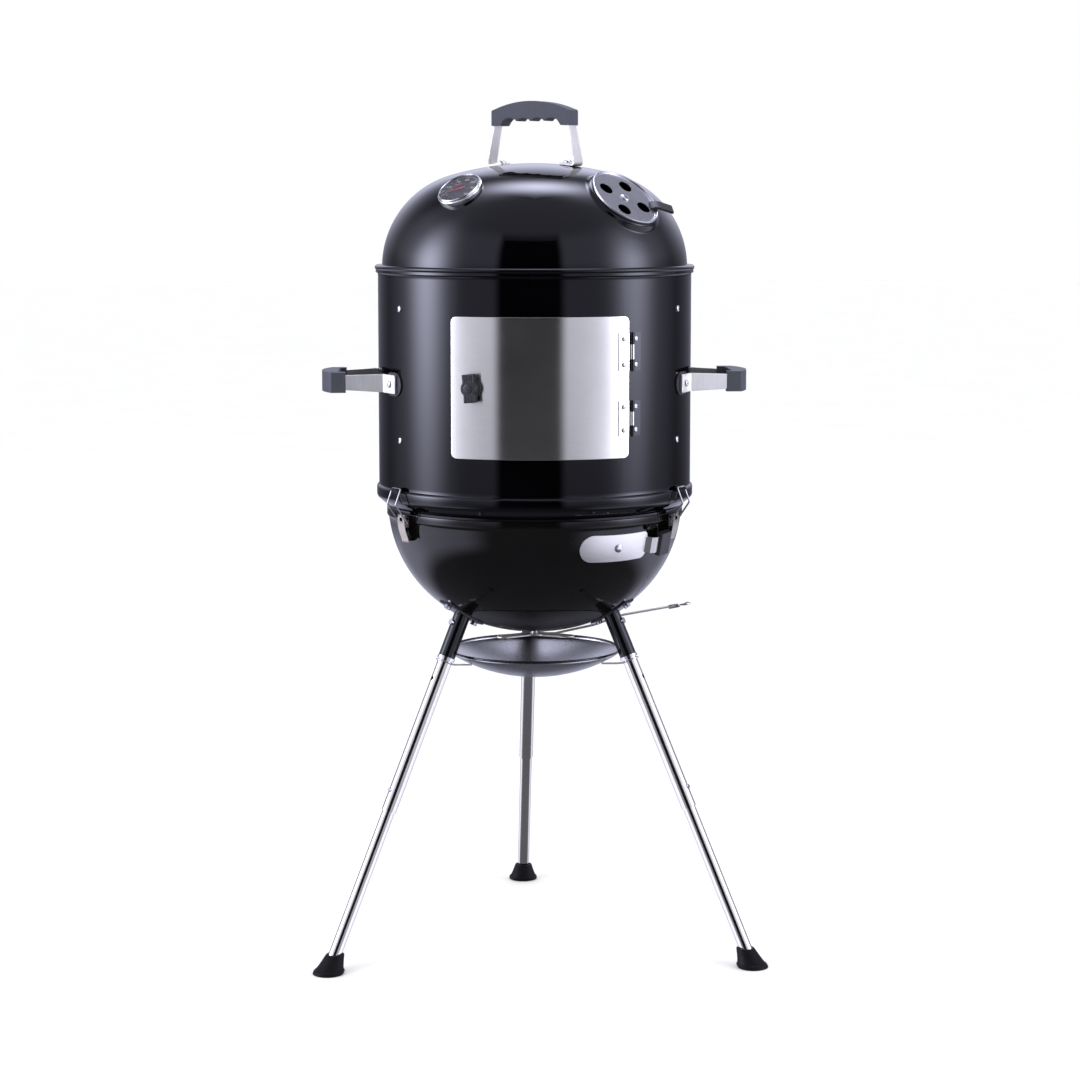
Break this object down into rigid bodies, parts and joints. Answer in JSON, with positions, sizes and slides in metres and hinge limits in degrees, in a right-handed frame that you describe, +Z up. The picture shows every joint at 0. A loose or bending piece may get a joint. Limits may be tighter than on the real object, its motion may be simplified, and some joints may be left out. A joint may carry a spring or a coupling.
{
  "type": "charcoal water smoker",
  "caption": "Upright domed charcoal smoker: enamelled barrel with a hinged steel door, lid, bowl with air vents, water pan, grates, ash pan and telescoping legs.",
  "frame": {"origin": "on the floor, on the barrel's axis between the three feet", "axes": "+Z up along the barrel's axis, -Y out of the door, +X to the right of someone facing the door"},
  "size_m": [0.6484, 0.6005, 1.2246],
  "materials": {
    "black_enamel": "gloss vitreous enamel",
    "door_steel": "brushed stainless",
    "strap_steel": "satin stainless",
    "tube_steel": "polished stainless",
    "damper_aluminium": "satin",
    "grip_plastic": "fine matte grain",
    "black_plastic": "moulded satin",
    "black_paint": "satin paint",
    "latch_steel": "warm plated steel",
    "bright_wire": "plated wire",
    "screw_steel": "polished",
    "dial_black": null,
    "needle_red": "satin",
    "dial_glass": "clear",
    "foot_rubber": "moulded",
    "pan_steel": "grey-black enamel"
  },
  "bodies": {
    "stand": {"bowl_shell": "black_enamel", "bowl_base": "black_enamel", "leg_sockets": "black_paint", "upper_legs": "tube_steel", "leg_collars": "screw_steel", "socket_bolts": "screw_steel", "ash_pan": "pan_steel", "ash_pan_clips": "bright_wire", "latch_bases": "black_paint", "charcoal_grate": "bright_wire", "bowl_vent_rivet": "screw_steel", "barrel_shell": "black_enamel", "grate_straps": "strap_steel", "barrel_screws": "screw_steel", "side_handle_strap_left": "strap_steel", "side_handle_strap_right": "strap_steel", "side_handle_grip_left": "grip_plastic", "side_handle_grip_right": "grip_plastic", "side_handle_pads": "black_plastic", "side_handle_screws": "screw_steel", "barrel_hinge_leaves": "black_paint", "latch_keepers": "black_paint", "upper_grate": "bright_wire", "lower_grate": "bright_wire", "water_pan": "black_enamel"},
    "door": {"door_panel": "door_steel", "door_hinge_leaves": "door_steel", "door_hinge_screws": "screw_steel"},
    "knob": {"door_knob": "black_plastic", "door_tongue": "screw_steel"},
    "lid": {"lid_shell": "black_enamel", "lid_handle_strap": "strap_steel", "lid_handle_grip": "grip_plastic", "lid_handle_bolts": "screw_steel", "thermometer_case": "tube_steel", "thermometer_dial": "dial_black", "thermometer_glass": "dial_glass", "damper_rivet": "screw_steel"},
    "needle": {"thermometer_needle": "needle_red"},
    "damper": {"damper_disc": "damper_aluminium", "damper_tab": "black_plastic"},
    "vent": {"bowl_vent_plate": "strap_steel", "bowl_vent_grip": "black_plastic"},
    "sweeper": {"sweeper_blades": "strap_steel", "sweeper_lever": "strap_steel", "sweeper_grip": "black_paint"},
    "latch_left": {"latch_lever_left": "latch_steel"},
    "bail_left": {"latch_bail_left": "bright_wire"},
    "leg_left": {"lower_leg_left": "tube_steel", "foot_left": "foot_rubber"},
    "button_left": {"leg_button_left": "screw_steel"},
    "latch_right": {"latch_lever_right": "latch_steel"},
    "bail_right": {"latch_bail_right": "bright_wire"},
    "leg_right": {"lower_leg_right": "tube_steel", "foot_right": "foot_rubber"},
    "button_right": {"leg_button_right": "screw_steel"},
    "latch_rear": {"latch_lever_rear": "latch_steel"},
    "bail_rear": {"latch_bail_rear": "bright_wire"},
    "leg_rear": {"lower_leg_rear": "tube_steel", "foot_rear": "foot_rubber"},
    "button_rear": {"leg_button_rear": "screw_steel"}
  },
  "joints": [
    {"name": "lid_lift", "type": "slide", "parent": "stand", "child": "lid", "axis": [0, 0, 1], "range_m": [0, 0.35]},
    {"name": "damper_turn", "type": "hinge", "parent": "lid", "child": "damper", "pos_m": [0.11949, -0.12813, 1.089], "axis": [0.4625, -0.496, 0.7349], "range_deg": [0, 45]},
    {"name": "needle_sweep", "type": "hinge", "parent": "lid", "child": "needle", "pos_m": [-0.10938, -0.12407, 1.0973], "axis": [0.4007, 0.4546, -0.7955], "range_deg": [0, 240], "stiffness_Nm_per_rad": 0.0002},
    {"name": "door_swing", "type": "hinge", "parent": "stand", "child": "door", "pos_m": [0.12415, -0.19302, 0.83], "axis": [0, 0, 1], "range_deg": [0, 150]},
    {"name": "knob_turn", "type": "hinge", "parent": "door", "child": "knob", "pos_m": [-0.09642, -0.20771, 0.83], "axis": [-0.421, -0.907, 0], "range_deg": [0, 90]},
    {"name": "vent_turn", "type": "hinge", "parent": "stand", "child": "vent", "pos_m": [0.10671, -0.17621, 0.6041], "axis": [-0.4999, 0.8254, 0.2622], "range_deg": [0, 12]},
    {"name": "sweeper_turn", "type": "hinge", "parent": "stand", "child": "sweeper", "pos_m": [0, 0, 0.456], "axis": [0, 0, 1], "range_deg": [0, 58]},
    {"name": "latch_left_open", "type": "hinge", "parent": "stand", "child": "latch_left", "pos_m": [-0.19053, -0.11, 0.64], "axis": [-0.5, 0.866, 0], "range_deg": [0, 90]},
    {"name": "bail_left_swing", "type": "hinge", "parent": "latch_left", "child": "bail_left", "pos_m": [-0.19053, -0.11, 0.632], "axis": [-0.5, 0.866, 0], "range_deg": [-77, 0]},
    {"name": "leg_left_slide", "type": "slide", "parent": "stand", "child": "leg_left", "axis": [-0.3591, -0.2073, -0.91], "range_m": [-0.17, 0], "deforming": ["leg_button_left"]},
    {"name": "button_left_press", "type": "slide", "parent": "leg_left", "child": "button_left", "axis": [0.788, 0.455, -0.4147], "range_m": [0, 0.003], "stiffness_N_per_m": 800},
    {"name": "latch_right_open", "type": "hinge", "parent": "stand", "child": "latch_right", "pos_m": [0.19053, -0.11, 0.64], "axis": [-0.5, -0.866, 0], "range_deg": [0, 90]},
    {"name": "bail_right_swing", "type": "hinge", "parent": "latch_right", "child": "bail_right", "pos_m": [0.19053, -0.11, 0.632], "axis": [-0.5, -0.866, 0], "range_deg": [-77, 0]},
    {"name": "leg_right_slide", "type": "slide", "parent": "stand", "child": "leg_right", "axis": [0.3591, -0.2073, -0.91], "range_m": [-0.17, 0], "deforming": ["leg_button_right"]},
    {"name": "button_right_press", "type": "slide", "parent": "leg_right", "child": "button_right", "axis": [-0.788, 0.455, -0.4147], "range_m": [0, 0.003], "stiffness_N_per_m": 800},
    {"name": "latch_rear_open", "type": "hinge", "parent": "stand", "child": "latch_rear", "pos_m": [0, 0.22, 0.64], "axis": [1, 0, 0], "range_deg": [0, 90]},
    {"name": "bail_rear_swing", "type": "hinge", "parent": "latch_rear", "child": "bail_rear", "pos_m": [0, 0.22, 0.632], "axis": [1, 0, 0], "range_deg": [-77, 0]},
    {"name": "leg_rear_slide", "type": "slide", "parent": "stand", "child": "leg_rear", "axis": [0, 0.4147, -0.91], "range_m": [-0.17, 0], "deforming": ["leg_button_rear"]},
    {"name": "button_rear_press", "type": "slide", "parent": "leg_rear", "child": "button_rear", "axis": [0, -0.91, -0.4147], "range_m": [0, 0.003], "stiffness_N_per_m": 800}
  ],
  "couplings": [
    {"joint": "bail_left_swing", "follows": "latch_left_open", "ratio": -0.85},
    {"joint": "bail_right_swing", "follows": "latch_right_open", "ratio": -0.85},
    {"joint": "bail_rear_swing", "follows": "latch_rear_open", "ratio": -0.85}
  ]
}
